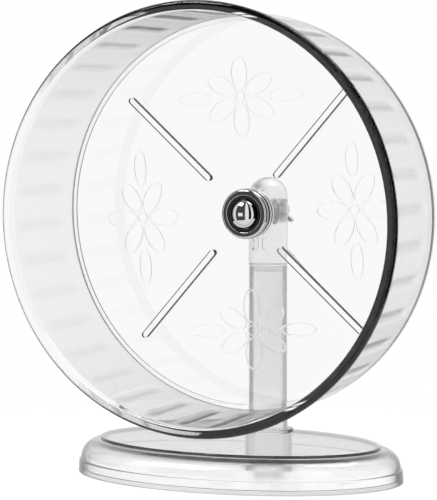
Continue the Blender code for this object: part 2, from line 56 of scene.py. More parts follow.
foot_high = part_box("base_cover")[1]
tube_low, tube_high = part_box("post_tube")
foot_half_length = foot_high.x
foot_half_depth = foot_high.y
collar_top = foot_high.z
post_axis = (tube_low + tube_high) / 2
tube_radius = tube_high.x
FIT_GAP = 0.3 * MM
FOOT_HEIGHT = 21.9 * MM
FOOT_WALL = 2.6 * MM
FLANGE_HEIGHT = 8.1 * MM
FLANGE_DRAFT = 0.6 * MM
SHOULDER_FOOT = 1.8 * MM
SHOULDER_STRAIGHT = 1.0 * MM
TOP_INSET = 13.9 * MM
TOP_LEDGE = 0.9 * MM
TOP_STEP = 2.0 * MM
REBATE_INSET = 3.2 * MM
REBATE_HEIGHT = 2.7 * MM
REBATE_LEDGE = 1.2 * MM
SOCKET_WALL = 2.4 * MM
COLLAR_WIDTH = 3.6 * MM
COLLAR_FLARE = 0.8 * MM
COLLAR_SINK = 0.1 * MM
TOP_EDGE = 0.7 * MM
STEP_EDGE = 0.35 * MM
SHOULDER_STEPS = 14
OVAL_STEPS = 176
ROUND_STEPS = 96
CORNER_STEPS = 6
MERGE_GAP = 0.001 * MM
FINE_EDGE = 0.2 * MM
BROKEN_EDGE = 0.3 * MM
EASED_EDGE = 0.4 * MM
SOFT_EDGE = 0.5 * MM


def rounded(corners, closed=True):
    """An outline through corners of (across, along, radius), rounded. A closed one ends where it starts."""
    outline = []
    for number, (across, along, radius) in enumerate(corners):
        corner = Vector((across, along))
        last = number == len(corners) - 1
        if radius == 0.0 or not closed and (number == 0 or last):
            outline.append(corner)
            continue
        before = Vector(corners[number - 1][:2]) - corner
        after = Vector(corners[0 if last else number + 1][:2]) - corner
        half_angle = before.angle(after) / 2
        reach = radius / math.tan(half_angle)
        halfway = (before.normalized() + after.normalized()).normalized()
        middle = corner + halfway * radius / math.sin(half_angle)
        start = corner + before.normalized() * reach - middle
        end = corner + after.normalized() * reach - middle
        turn = math.atan2(start.x * end.y - start.y * end.x, start.dot(end))
        for step in range(CORNER_STEPS + 1):
            outline.append(middle + Matrix.Rotation(turn * step / CORNER_STEPS, 2) @ start)
    return outline + outline[:1] if closed else outline


def bow(centre, radii, start, end, steps):
    """Points on an elliptical arc in an outline, from one angle in degrees to another."""
    angles = [math.radians(start + (end - start) * step / steps) for step in range(steps + 1)]
    return [Vector((centre[0] + radii[0] * math.cos(a), centre[1] + radii[1] * math.sin(a))) for a in angles]


def add_piece(name, add, **settings):
    """Add a primitive with nothing else selected, and open it in edit mode with all of it selected."""
    bpy.ops.object.select_all(action="DESELECT")
    add(**settings)
    made = bpy.context.object
    made.name = made.data.name = name
    bpy.ops.object.transform_apply(location=True, rotation=True, scale=True)
    bpy.ops.object.mode_set(mode="EDIT")
    bpy.ops.mesh.select_all(action="SELECT")
    return made


def close_piece():
    """Merge doubled points, turn the faces out and leave edit mode."""
    bpy.ops.mesh.select_all(action="SELECT")
    bpy.ops.mesh.remove_doubles(threshold=MERGE_GAP)
    bpy.ops.mesh.normals_make_consistent(inside=False)
    bpy.ops.object.mode_set(mode="OBJECT")


def oval(name, outline):
    """Pull an oval ring along an outline of (inset from the foot's edge, height), and fill its ends."""
    made = add_piece(name, bpy.ops.mesh.primitive_circle_add, vertices=OVAL_STEPS, radius=1.0)
    length, depth, height = 1.0, 1.0, 0.0
    for number, (inset, level) in enumerate(outline):
        if number:
            bpy.ops.mesh.extrude_edges_move()
        new_length, new_depth = foot_half_length - inset, foot_half_depth - inset
        bpy.ops.transform.resize(
            value=(new_length / length, new_depth / depth, 1.0), center_override=(0, 0, 0))
        bpy.ops.transform.translate(value=(0, 0, level - height))
        length, depth, height = new_length, new_depth, level
    bpy.ops.mesh.select_all(action="SELECT")
    bpy.ops.mesh.fill_holes(sides=0)
    close_piece()
    return made


def turned(name, outline, centre, along, steps=ROUND_STEPS):
    """Draw half a section of (radius, place on the axis), point by point, and spin it into a piece."""
    axis = Vector((0, 1, 0)) if along == "Y" else Vector((0, 0, 1))
    points = [Vector(centre) + Vector((radius, 0, 0)) + axis * place for radius, place in outline]
    made = add_piece(name, bpy.ops.mesh.primitive_plane_add, size=MM)
    bpy.ops.mesh.merge(type="CENTER")
    bpy.ops.transform.translate(value=points[0])
    for start, end in zip(points, points[1:]):
        bpy.ops.mesh.extrude_vertices_move(TRANSFORM_OT_translate={"value": end - start})
    bpy.ops.mesh.select_all(action="SELECT")
    bpy.ops.mesh.spin(steps=steps, angle=math.tau, center=centre, axis=axis)
    close_piece()
    return made


def apply_modifier(made, kind, **settings):
    bpy.context.view_layer.objects.active = made
    modifier = made.modifiers.new(kind.lower(), kind)
    for name, value in settings.items():
        setattr(modifier, name, value)
    bpy.ops.object.modifier_apply(modifier=modifier.name)


def combine(made, tool, operation):
    """Join a tool to a piece, or cut it out, and throw the tool away."""
    apply_modifier(made, "BOOLEAN", object=tool, operation=operation, solver="EXACT")
    bpy.data.objects.remove(tool, do_unlink=True)
    bpy.ops.object.mode_set(mode="EDIT")
    bpy.ops.mesh.select_all(action="SELECT")
    bpy.ops.mesh.remove_doubles(threshold=MERGE_GAP)
    bpy.ops.object.mode_set(mode="OBJECT")


def smooth(made, crease=40.0):
    """Shade a piece smooth up to a crease angle, with its flat faces kept flat."""
    bpy.ops.object.select_all(action="DESELECT")
    made.select_set(True)
    bpy.context.view_layer.objects.active = made
    bpy.ops.object.shade_smooth_by_angle(angle=math.radians(crease))
    apply_modifier(made, "WEIGHTED_NORMAL", keep_sharp=True, weight=100)


def linear(code):
    """An sRGB hex colour as linear red, green, blue and full alpha."""
    parts = [int(code[place:place + 2], 16) / 255 for place in (1, 3, 5)]
    return [part / 12.92 if part <= 0.04045 else ((part + 0.055) / 1.055) ** 2.4 for part in parts] + [1.0]


def add_node(tree, kind, inputs, **settings):
    """Add a node, set its options, and set or link each of its inputs."""
    made = tree.nodes.new(kind)
    for name, value in settings.items():
        setattr(made, name, value)
    for name, value in inputs.items():
        if isinstance(value, bpy.types.NodeSocket):
            tree.links.new(value, made.inputs[name])
        else:
            made.inputs[name].default_value = value
    return made


def new_material(name):
    made = bpy.data.materials.new(name)
    made.use_nodes = True
    made.node_tree.nodes.clear()
    return made


# Clear general-purpose polystyrene, injection moulded in a polished tool: water-clear, glossy, with the faint
# long waves that the melt leaves as it flows. Lamps shine through it, so its shadow is pale. A reflection
# that meets it from outside goes straight on, tinted by the colour given as mirrored, which is a painted
# reflection: it sets how dark the piece shows where other pieces mirror it.
POLYSTYRENE_COLOUR = "#fefefe"
POLYSTYRENE_IOR = 1.57
FLOW_WAVE = 28 * MM
FLOW_DEPTH = 0.02 * MM


def polystyrene(name, roughness, haze=0.0, colour=POLYSTYRENE_COLOUR, mirrored=POLYSTYRENE_COLOUR):
    made = new_material(name)
    tree = made.node_tree
    place = add_node(tree, "ShaderNodeTexCoord", {})
    flow = add_node(tree, "ShaderNodeTexNoise", {
        "Vector": place.outputs["Object"], "Scale": 1 / FLOW_WAVE, "Detail": 1.0})
    waves = add_node(tree, "ShaderNodeBump", {
        "Height": flow.outputs["Fac"], "Strength": 1.0, "Distance": FLOW_DEPTH})
    plastic = add_node(tree, "ShaderNodeBsdfPrincipled", {
        "Base Color": linear(colour), "Roughness": roughness, "IOR": POLYSTYRENE_IOR,
        "Transmission Weight": 1 - haze, "Normal": waves.outputs["Normal"]})
    ray = add_node(tree, "ShaderNodeLightPath", {})
    inside = add_node(tree, "ShaderNodeMath", {
        0: ray.outputs["Transmission Depth"], 1: 2.0}, operation="MODULO")
    outside = add_node(tree, "ShaderNodeMath", {
        0: inside.outputs["Value"], 1: 0.5}, operation="LESS_THAN")
    reflected = add_node(tree, "ShaderNodeMath", {
        0: ray.outputs["Is Reflection Ray"], 1: outside.outputs["Value"]}, operation="MULTIPLY")
    # Painted reflection: a reflection from outside passes through, tinted by the mirrored colour.
    image = add_node(tree, "ShaderNodeBsdfTransparent", {"Color": linear(mirrored)})
    choice = add_node(tree, "ShaderNodeMixShader", {
        0: reflected.outputs["Value"], 1: plastic.outputs["BSDF"], 2: image.outputs["BSDF"]})
    lamp_light = add_node(tree, "ShaderNodeBsdfTransparent", {"Color": linear(POLYSTYRENE_COLOUR)})
    choice = add_node(tree, "ShaderNodeMixShader", {
        0: ray.outputs["Is Shadow Ray"], 1: choice.outputs["Shader"], 2: lamp_light.outputs["BSDF"]})
    add_node(tree, "ShaderNodeOutputMaterial", {"Surface": choice.outputs["Shader"]})
    return made


polished_polystyrene = polystyrene("polished_polystyrene", roughness=0.0, haze=0.02)
frosted_polystyrene = polystyrene("frosted_polystyrene", roughness=0.16, haze=0.02)

ledge = TOP_INSET - TOP_LEDGE
ledge_height = FOOT_HEIGHT - TOP_STEP
shoulder_start = FLANGE_HEIGHT + SHOULDER_STRAIGHT
shoulder_size = (ledge - SHOULDER_FOOT, ledge_height - shoulder_start)
under_size = (shoulder_size[0] - FOOT_WALL, shoulder_size[1] - FOOT_WALL)
middle_inset = foot_half_depth - MM
cover_outline = rounded([
    (middle_inset, FOOT_HEIGHT, 0), (TOP_INSET, FOOT_HEIGHT, TOP_EDGE), (TOP_INSET, ledge_height, STEP_EDGE),
    (ledge, ledge_height, 0)], closed=False)
cover_outline += bow((ledge, shoulder_start), shoulder_size, 90, 180, SHOULDER_STEPS)[1:]
cover_outline += rounded([
    (SHOULDER_FOOT, shoulder_start, 0), (SHOULDER_FOOT, FLANGE_HEIGHT, EASED_EDGE),
    (FLANGE_DRAFT, FLANGE_HEIGHT, SOFT_EDGE), (0, 0, EASED_EDGE), (REBATE_INSET, 0, BROKEN_EDGE),
    (REBATE_INSET, REBATE_HEIGHT, FINE_EDGE), (REBATE_INSET + REBATE_LEDGE, REBATE_HEIGHT, FINE_EDGE),
    (REBATE_INSET + REBATE_LEDGE, shoulder_start, 0)], closed=False)[1:]
cover_outline += bow((ledge, shoulder_start), under_size, 180, 90, SHOULDER_STEPS)[1:]
cover_outline += rounded([
    (ledge, ledge_height - FOOT_WALL, 0), (TOP_INSET + FOOT_WALL, ledge_height - FOOT_WALL, STEP_EDGE),
    (TOP_INSET + FOOT_WALL, FOOT_HEIGHT - FOOT_WALL, TOP_EDGE), (middle_inset, FOOT_HEIGHT - FOOT_WALL, 0)],
    closed=False)[1:]
foot_cover = oval("foot_cover", cover_outline)

# The inside of the shoulder and of the step above it, which look towards the foot's middle, is left frosted.
foot_cover.data.materials.append(polished_polystyrene)
foot_cover.data.materials.append(frosted_polystyrene)
for face in foot_cover.data.polygons:
    face.material_index = int(face.normal.dot(face.center) < 0 and face.center.z < FOOT_HEIGHT - FOOT_WALL)

socket_bore = tube_radius + FIT_GAP
socket_outer = socket_bore + SOCKET_WALL
collar_outer = tube_radius + COLLAR_WIDTH
collar_foot = FOOT_HEIGHT - COLLAR_SINK
socket_low = REBATE_HEIGHT
socket_outline = rounded([
    (0, collar_top, 0), (collar_outer, collar_top, SOFT_EDGE), (collar_outer, collar_foot, COLLAR_FLARE),
    (collar_outer + 2 * COLLAR_FLARE, collar_foot, 0), (socket_outer, FOOT_HEIGHT - FOOT_WALL / 2, 0),
    (socket_outer, socket_low, BROKEN_EDGE), (0, socket_low, 0)], closed=False)
post_foot = (0, post_axis.y, 0)
combine(foot_cover, turned("socket", socket_outline, post_foot, "Z"), "UNION")
bore_outline = [(0, 2 * collar_top), (socket_bore, 2 * collar_top), (socket_bore, 0), (0, 0)]
combine(foot_cover, turned("socket_bore", bore_outline, post_foot, "Z"), "DIFFERENCE")
smooth(foot_cover)
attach(foot_cover, "stand")
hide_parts("base_cover")


# Foot plate: a flat oval sheet of polystyrene, a little cloudy, bonded into the rebate under the cover so
# that the foot stands on a flat face.

plate_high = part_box("base_plate")[1]
plate_inset = foot_half_length - plate_high.x
plate_top = plate_high.z
plate_outline = rounded([
    (middle_inset, plate_top, 0), (plate_inset, plate_top, BROKEN_EDGE), (plate_inset, 0, BROKEN_EDGE),
    (middle_inset, 0, 0)], closed=False)
foot_plate = oval("foot_plate", plate_outline)
smooth(foot_plate)
opal_polystyrene = polystyrene("opal_polystyrene", roughness=0.2, haze=0.6)
foot_plate.data.materials.append(opal_polystyrene)
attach(foot_plate, "stand")
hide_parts("base_plate")


# Post tube: a length of extruded clear polystyrene tube, sawn square with its edges eased. It is pushed into
# the foot's socket and carries the head on its top end.

TUBE_WALL = 2.5 * MM
tube_bore = tube_radius - TUBE_WALL
tube_outline = rounded([
    (tube_bore, tube_low.z, EASED_EDGE), (tube_radius, tube_low.z, EASED_EDGE),
    (tube_radius, tube_high.z, EASED_EDGE), (tube_bore, tube_high.z, EASED_EDGE)])
clear_post = turned("clear_post", tube_outline, post_foot, "Z")
smooth(clear_post)

# The post's polystyrene has a satin skin, which blurs what lies behind it.
satin_polystyrene = polystyrene("satin_polystyrene", roughness=0.2, haze=0.22)
clear_post.data.materials.append(satin_polystyrene)
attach(clear_post, "stand")
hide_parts("post_tube")


# Post head: a domed bracket moulded in clear polystyrene. A short spigot plugs it into the tube, a boss
# carries the axle, a round pad takes the wing nut's washer, and two shallow pockets are sunk below the hub.

head_low, head_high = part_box("post_head")
axle_point = Vector(next(joint["pos_m"] for joint in frame["joints"] if joint["name"] == "wheel_spin"))
HEAD_RADIUS = 12.25 * MM
SPIGOT_LENGTH = 4 * MM
BOSS_RADIUS = 7.5 * MM
BOSS_FLARE = 2.2 * MM
BOSS_SINK = 0.6 * MM
BOSS_REACH = 3.6 * MM
PAD_RADIUS = 8 * MM
AXLE_HOLE = 3.0 * MM
HOLE_STEPS = 48
DOME_STEPS = 16
POCKET_RADIUS = 3 * MM
POCKET_STRAIGHT = 3.3 * MM
POCKET_DEPTH = 0.9 * MM
POCKET_SPREAD = 4.4 * MM
POCKET_DROP = 15 * MM
ROUND_EDGE = 0.6 * MM


def stretch_points(made, test, move):
    """Move the points of a piece that pass a test on their place."""
    bpy.ops.object.mode_set(mode="EDIT")
    bpy.ops.mesh.select_all(action="DESELECT")
    bpy.ops.object.mode_set(mode="OBJECT")
    for vertex in made.data.vertices:
        vertex.select = test(vertex.co)
    bpy.ops.object.mode_set(mode="EDIT")
    bpy.ops.transform.translate(value=move)
    bpy.ops.object.mode_set(mode="OBJECT")


head_joint = head_low.z + SPIGOT_LENGTH
spigot = tube_bore - FIT_GAP
head_outline = rounded([
    (0, head_low.z, 0), (spigot, head_low.z, SOFT_EDGE), (spigot, head_joint, FINE_EDGE),
    (HEAD_RADIUS, head_joint, SOFT_EDGE), (HEAD_RADIUS, head_high.z - HEAD_RADIUS, 0)], closed=False)
head_outline += bow((0, head_high.z - HEAD_RADIUS), (HEAD_RADIUS, HEAD_RADIUS), 0, 90, DOME_STEPS)[1:]
bracket_head = turned("bracket_head", head_outline, post_foot, "Z")

axle_line = (0, 0, axle_point.z)
boss_front = head_low.y
pad_back = head_high.y
boss_outline = rounded([
    (0, boss_front, 0), (BOSS_RADIUS, boss_front, SOFT_EDGE),
    (BOSS_RADIUS, post_axis.y - HEAD_RADIUS + BOSS_SINK, BOSS_FLARE),
    (BOSS_RADIUS + 2 * BOSS_FLARE, post_axis.y - HEAD_RADIUS + BOSS_REACH, 0), (0, post_axis.y, 0)],
    closed=False)
combine(bracket_head, turned("boss", boss_outline, axle_line, "Y"), "UNION")
pad_outline = rounded([
    (0, post_axis.y, 0), (PAD_RADIUS, post_axis.y, 0), (PAD_RADIUS, pad_back, EASED_EDGE), (0, pad_back, 0)],
    closed=False)
combine(bracket_head, turned("pad", pad_outline, axle_line, "Y"), "UNION")
hole_ends = (boss_front - MM, pad_back + MM)
hole_outline = [(0, hole_ends[0]), (AXLE_HOLE, hole_ends[0]), (AXLE_HOLE, hole_ends[1]), (0, hole_ends[1])]
combine(bracket_head, turned("axle_hole", hole_outline, axle_line, "Y", HOLE_STEPS), "DIFFERENCE")

pocket_floor = post_axis.y - math.sqrt(HEAD_RADIUS ** 2 - POCKET_SPREAD ** 2) + POCKET_DEPTH
pocket_end = axle_point.z - POCKET_DROP - POCKET_RADIUS - POCKET_STRAIGHT
pocket_outline = rounded([
    (0, pocket_floor, 0), (POCKET_RADIUS, pocket_floor, ROUND_EDGE),
    (POCKET_RADIUS, pocket_floor - HEAD_RADIUS, 0), (0, pocket_floor - HEAD_RADIUS, 0)], closed=False)
pockets = turned("pockets", pocket_outline, (-POCKET_SPREAD, 0, pocket_end), "Y", HOLE_STEPS)
stretch_points(pockets, lambda point: point.z > pocket_end + MERGE_GAP, (0, 0, POCKET_STRAIGHT))
bpy.ops.object.mode_set(mode="EDIT")
bpy.ops.mesh.select_all(action="SELECT")
bpy.ops.mesh.duplicate()
bpy.ops.transform.translate(value=(2 * POCKET_SPREAD, 0, 0))
bpy.ops.object.mode_set(mode="OBJECT")
combine(bracket_head, pockets, "DIFFERENCE")
smooth(bracket_head)
bracket_head.data.materials.append(satin_polystyrene)
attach(bracket_head, "stand")
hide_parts("post_head")


# Axle: a turned and ground steel stud. Its plain front end carries the bearing, and its thinner tail is
# threaded for the wing nut.

# Ground steel: a grey metal with fine lines round the axle, which blur its reflections one way. The lines are
# drawn coarser than a grinding wheel leaves them, so that they show.
STEEL_COLOUR = "#b9babc"
GRIND_LINE = 0.25 * MM
GRIND_DEPTH = 0.01 * MM
GRIND_STRETCH = (0.15, 1.0, 0.15)

ground_steel = new_material("ground_steel")
tree = ground_steel.node_tree
place = add_node(tree, "ShaderNodeTexCoord", {})
stretch = add_node(tree, "ShaderNodeMapping", {"Vector": place.outputs["Object"], "Scale": GRIND_STRETCH})
lines = add_node(tree, "ShaderNodeTexNoise", {"Vector": stretch.outputs["Vector"], "Scale": 1 / GRIND_LINE})
rough = add_node(tree, "ShaderNodeMapRange", {"Value": lines.outputs["Fac"], "To Min": 0.18, "To Max": 0.34})
scratches = add_node(tree, "ShaderNodeBump", {
    "Height": lines.outputs["Fac"], "Strength": 0.3, "Distance": GRIND_DEPTH})
metal = add_node(tree, "ShaderNodeBsdfPrincipled", {
    "Base Color": linear(STEEL_COLOUR), "Metallic": 1.0, "Roughness": rough.outputs["Result"],
    "Normal": scratches.outputs["Normal"]})
add_node(tree, "ShaderNodeOutputMaterial", {"Surface": metal.outputs["BSDF"]})

axle_low, axle_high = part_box("axle")
axle_radius = axle_high.x
THREAD_RADIUS = 2.7 * MM
THREAD_PITCH = 1.0 * MM
THREAD_DEPTH = 0.5 * MM
THREAD_ROWS = 8
THREAD_STEPS = 40
HAIR_EDGE = 0.1 * MM
thread_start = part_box("axle_spacer")[1].y
stud_outline = rounded([
    (0, axle_low.y, 0), (axle_radius, axle_low.y, BROKEN_EDGE), (axle_radius, thread_start, HAIR_EDGE),
    (THREAD_RADIUS, thread_start, 0)], closed=False)
row_count = round((axle_high.y - thread_start) / THREAD_PITCH * THREAD_ROWS)
for row in range(1, row_count + 1):
    stud_outline.append((THREAD_RADIUS, thread_start + (axle_high.y - thread_start) * row / row_count))
stud_outline.append((0, axle_high.y))
axle_stud = turned("axle_stud", stud_outline, axle_line, "Y", THREAD_STEPS)
thread_runout = 1.5 * THREAD_PITCH
for vertex in axle_stud.data.vertices:
    across = vertex.co - Vector((0, vertex.co.y, axle_point.z))
    along = vertex.co.y - thread_start
    if along > MERGE_GAP and across.length > THREAD_RADIUS / 2:
        turn = math.atan2(across.z, across.x) / math.tau
        groove = abs(((along / THREAD_PITCH - turn) % 1.0) * 2 - 1)
        ends = min(1.0, along / thread_runout)
        point_off = max(0.0, 1 - (axle_high.y - vertex.co.y) / THREAD_PITCH)
        depth = THREAD_DEPTH * min(1.0, max(groove * ends, point_off))
        vertex.co -= across.normalized() * depth
smooth(axle_stud)
axle_stud.data.materials.append(ground_steel)
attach(axle_stud, "stand")
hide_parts("axle")


# Spacer sleeve and washers: plain steel rings with their edges broken. The sleeve stands between the bearing
# and the bracket, one washer is under the cap nut and one under the wing nut.

RING_BORE = 4.0 * MM
for name, node, bore in (("spacer_sleeve", "axle_spacer", RING_BORE),
                         ("seat_washer", "front_washer", RING_BORE),
                         ("back_washer", "rear_washer", AXLE_HOLE)):
    low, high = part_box(node)
    ring_outline = rounded([
        (bore, low.y, FINE_EDGE), (high.x, low.y, FINE_EDGE), (high.x, high.y, FINE_EDGE),
        (bore, high.y, FINE_EDGE)])
    ring = turned(name, ring_outline, axle_line, "Y")
    smooth(ring)
    ring.data.materials.append(ground_steel)
    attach(ring, "stand")
    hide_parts(node)


# Ball bearing: a standard steel bearing with pressed shields and a moulded nylon cage. It sits deep in the
# hub, so the frame's own rings, balls and cage are kept, and get their finishes here.

for name in ("bearing_inner_race", "bearing_outer_race", "bearing_front_shield", "bearing_rear_shield",
             "bearing_retaining_ring"):
    frame["nodes"][name].data.materials.clear()
    frame["nodes"][name].data.materials.append(ground_steel)

# Bearing balls: hardened chrome steel, lapped to a mirror with only a trace of haze.
BALL_COLOUR = "#c9cacc"
BALL_HAZE = 0.8 * MM
lapped_steel = new_material("lapped_steel")
tree = lapped_steel.node_tree
place = add_node(tree, "ShaderNodeTexCoord", {})
haze = add_node(tree, "ShaderNodeTexNoise", {"Vector": place.outputs["Object"], "Scale": 1 / BALL_HAZE})
rough = add_node(tree, "ShaderNodeMapRange", {"Value": haze.outputs["Fac"], "To Min": 0.03, "To Max": 0.09})
metal = add_node(tree, "ShaderNodeBsdfPrincipled", {
    "Base Color": linear(BALL_COLOUR), "Metallic": 1.0, "Roughness": rough.outputs["Result"]})
add_node(tree, "ShaderNodeOutputMaterial", {"Surface": metal.outputs["BSDF"]})

# Cage: natural nylon, a creamy half-gloss plastic with a fine moulded grain.
NYLON_COLOUR = "#eae7de"
CAGE_GRAIN = 0.4 * MM
GRAIN_DEPTH = 0.02 * MM
natural_nylon = new_material("natural_nylon")
tree = natural_nylon.node_tree
place = add_node(tree, "ShaderNodeTexCoord", {})
grain = add_node(tree, "ShaderNodeTexNoise", {"Vector": place.outputs["Object"], "Scale": 1 / CAGE_GRAIN})
rough = add_node(tree, "ShaderNodeMapRange", {"Value": grain.outputs["Fac"], "To Min": 0.38, "To Max": 0.55})
bumps = add_node(tree, "ShaderNodeBump", {
    "Height": grain.outputs["Fac"], "Strength": 0.2, "Distance": GRAIN_DEPTH})
nylon = add_node(tree, "ShaderNodeBsdfPrincipled", {
    "Base Color": linear(NYLON_COLOUR), "Roughness": rough.outputs["Result"],
    "Normal": bumps.outputs["Normal"]})
add_node(tree, "ShaderNodeOutputMaterial", {"Surface": nylon.outputs["BSDF"]})

cage = frame["nodes"]["bearing_cage"]
cage.data.materials.clear()
cage.data.materials.append(natural_nylon)
for name, node in frame["nodes"].items():
    if name.startswith("ball_"):
        node.data.materials.clear()
        node.data.materials.append(lapped_steel)


# Hub housing: a flanged cup turned from metal and chrome plated. Its neck goes through the disc from the
# front and holds the bearing, and its flange has a slightly sloped face with a round edge.

# Bright chrome plate: a mirror over polished metal, with faint polishing haze.
CHROME_COLOUR = "#e2e3e5"
POLISH_HAZE = 2.5 * MM

chrome_plate = new_material("chrome_plate")
tree = chrome_plate.node_tree
place = add_node(tree, "ShaderNodeTexCoord", {})
haze = add_node(tree, "ShaderNodeTexNoise", {
    "Vector": place.outputs["Object"], "Scale": 1 / POLISH_HAZE, "Detail": 3.0})
rough = add_node(tree, "ShaderNodeMapRange", {"Value": haze.outputs["Fac"], "To Min": 0.02, "To Max": 0.08})
metal = add_node(tree, "ShaderNodeBsdfPrincipled", {
    "Base Color": linear(CHROME_COLOUR), "Metallic": 1.0, "Roughness": rough.outputs["Result"]})
add_node(tree, "ShaderNodeOutputMaterial", {"Surface": metal.outputs["BSDF"]})

hub_low, hub_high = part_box("hub_housing")
disc_front = axle_point.y
disc_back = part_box("back_disc")[1].y
hub_radius = hub_high.x
HUB_RECESS = 11.3 * MM
HUB_NECK = 13.0 * MM
HUB_STOP = 2.6 * MM
HUB_STOP_BORE = 8.0 * MM
HUB_SLOPE = 0.6 * MM
HUB_EDGE = 1.8 * MM
hub_outline = rounded([
    (HUB_RECESS, hub_low.y, EASED_EDGE), (hub_radius, hub_low.y + HUB_SLOPE, HUB_EDGE),
    (hub_radius, disc_front - FIT_GAP, BROKEN_EDGE), (HUB_NECK, disc_front - FIT_GAP, FINE_EDGE),
    (HUB_NECK, hub_high.y, BROKEN_EDGE), (HUB_STOP_BORE, hub_high.y, BROKEN_EDGE),
    (HUB_STOP_BORE, hub_high.y - HUB_STOP, FINE_EDGE), (HUB_RECESS, hub_high.y - HUB_STOP, FINE_EDGE)])
hub_cup = turned("hub_cup", hub_outline, axle_line, "Y")
smooth(hub_cup)
hub_cup.data.materials.append(chrome_plate)
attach(hub_cup, "wheel")
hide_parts("hub_housing")


# Hub ring: a grooved ring turned from metal and chrome plated. It is screwed on to the housing's neck behind
# the disc, to clamp it.

ring_low, ring_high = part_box("hub_ring_nut")
CLAMP_BORE = 13.3 * MM
GROOVE_WIDTH = 1.4 * MM
GROOVE_DEPTH = 1.0 * MM
groove_middle = (ring_low.y + ring_high.y) / 2
groove_sides = (groove_middle - GROOVE_WIDTH / 2, groove_middle + GROOVE_WIDTH / 2)
groove_floor = ring_high.x - GROOVE_DEPTH
ring_outline = rounded([
    (CLAMP_BORE, ring_low.y, BROKEN_EDGE), (ring_high.x, ring_low.y, ROUND_EDGE),
    (ring_high.x, groove_sides[0], EASED_EDGE), (groove_floor, groove_sides[0], BROKEN_EDGE),
    (groove_floor, groove_sides[1], BROKEN_EDGE), (ring_high.x, groove_sides[1], EASED_EDGE),
    (ring_high.x, ring_high.y, ROUND_EDGE), (CLAMP_BORE, ring_high.y, BROKEN_EDGE)])
clamp_ring = turned("clamp_ring", ring_outline, axle_line, "Y")
smooth(clamp_ring)
clamp_ring.data.materials.append(chrome_plate)
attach(clamp_ring, "wheel")
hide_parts("hub_ring_nut")


# Dust seal: a ring moulded in black rubber, with a round lip towards the cap nut. It is pressed into the
# hub's face, in front of the bearing.

# Moulded black rubber: nearly black, satin, with a very fine grain that is drawn coarser, so that it shows.
RUBBER_COLOUR = "#0d0d0e"
RUBBER_GRAIN = 0.3 * MM

black_rubber = new_material("black_rubber")
tree = black_rubber.node_tree
place = add_node(tree, "ShaderNodeTexCoord", {})
grain = add_node(tree, "ShaderNodeTexNoise", {"Vector": place.outputs["Object"], "Scale": 1 / RUBBER_GRAIN})
rough = add_node(tree, "ShaderNodeMapRange", {"Value": grain.outputs["Fac"], "To Min": 0.35, "To Max": 0.6})
bumps = add_node(tree, "ShaderNodeBump", {
    "Height": grain.outputs["Fac"], "Strength": 0.3, "Distance": GRAIN_DEPTH})
rubber = add_node(tree, "ShaderNodeBsdfPrincipled", {
    "Base Color": linear(RUBBER_COLOUR), "Roughness": rough.outputs["Result"],
    "Normal": bumps.outputs["Normal"]})
add_node(tree, "ShaderNodeOutputMaterial", {"Surface": rubber.outputs["BSDF"]})

seal_low, seal_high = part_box("hub_dust_seal")
SEAL_BORE = 9.3 * MM
SEAL_EDGE = 0.15 * MM
seal_outline = rounded([
    (SEAL_BORE, seal_low.y, BROKEN_EDGE), (seal_high.x, seal_low.y, SEAL_EDGE),
    (seal_high.x, seal_high.y, HAIR_EDGE), (SEAL_BORE, seal_high.y, HAIR_EDGE)])
dust_ring = turned("dust_ring", seal_outline, axle_line, "Y")
smooth(dust_ring)
dust_ring.data.materials.append(black_rubber)
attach(dust_ring, "wheel")
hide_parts("hub_dust_seal")


# Running track: the drum's wall, moulded in clear polystyrene with a slight taper for the tool. A heavy bead
# stiffens its open edge, low pads that fade out at both ends give grip inside, and the disc is bonded behind
# a thin flat seat at the back.

track_low, track_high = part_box("running_track")
rim_radius = track_high.x
rim_front = track_low.y
track_back = track_high.y
BEAD_HEIGHT = 3.9 * MM
BEAD_DEPTH = 3.6 * MM
BEAD_SLOPE = 3.4 * MM
BEAD_ROUND = 2.4 * MM
FACE_MARGIN = 0.3 * MM
FULL_EDGE = 0.8 * MM
TRACK_WALL = 2.0 * MM
TRACK_DRAFT = 2.7 * MM
SEAT_WIDTH = 3.1 * MM
SEAT_THICKNESS = 1.0 * MM
DISC_MARGIN = 0.6 * MM
WHEEL_TURN = 3.5
PAD_COUNT = 36
PAD_RISE = 0.3 * MM
PAD_SHARE = 0.27
PAD_FRONT = (5 * MM, 20 * MM)
PAD_FADE = (52 * MM, 70 * MM)
PAD_ENDS = (4 * MM, 71 * MM)
PAD_ROWS = 34
TRACK_STEPS = 24 * PAD_COUNT
track_depth = axle_point.y - rim_front
bead_back = rim_front + BEAD_DEPTH + BEAD_SLOPE
track_outer = rim_radius - BEAD_HEIGHT
track_inner = track_outer - TRACK_WALL
seat_radius = track_inner - TRACK_DRAFT - SEAT_WIDTH
disc_edge = track_inner - TRACK_DRAFT + DISC_MARGIN


def inner_radius(depth):
    """Radius of the track's inside at a depth behind the rim's front."""
    return track_inner - TRACK_DRAFT * depth / track_depth


seat_back = disc_front - FIT_GAP
seat_front = seat_back - SEAT_THICKNESS
track_outline = rounded([
    (inner_radius(PAD_ENDS[0]), rim_front + PAD_ENDS[0], 0), (track_inner, rim_front, FULL_EDGE),
    (rim_radius, rim_front, BEAD_ROUND), (rim_radius, rim_front + BEAD_DEPTH, SOFT_EDGE),
    (track_outer, bead_back, FULL_EDGE),
    (track_outer - TRACK_DRAFT, track_back, SOFT_EDGE),
    (disc_edge + FIT_GAP, track_back, BROKEN_EDGE), (disc_edge + FIT_GAP, seat_back, FINE_EDGE),
    (seat_radius, seat_back, FINE_EDGE), (seat_radius, seat_front, EASED_EDGE),
    (inner_radius(seat_front - rim_front), seat_front, SOFT_EDGE),
    (inner_radius(PAD_ENDS[1]), rim_front + PAD_ENDS[1], 0)], closed=False)
for row in range(1, PAD_ROWS + 1):
    depth = PAD_ENDS[1] + (PAD_ENDS[0] - PAD_ENDS[1]) * row / PAD_ROWS
    track_outline.append((inner_radius(depth), rim_front + depth))
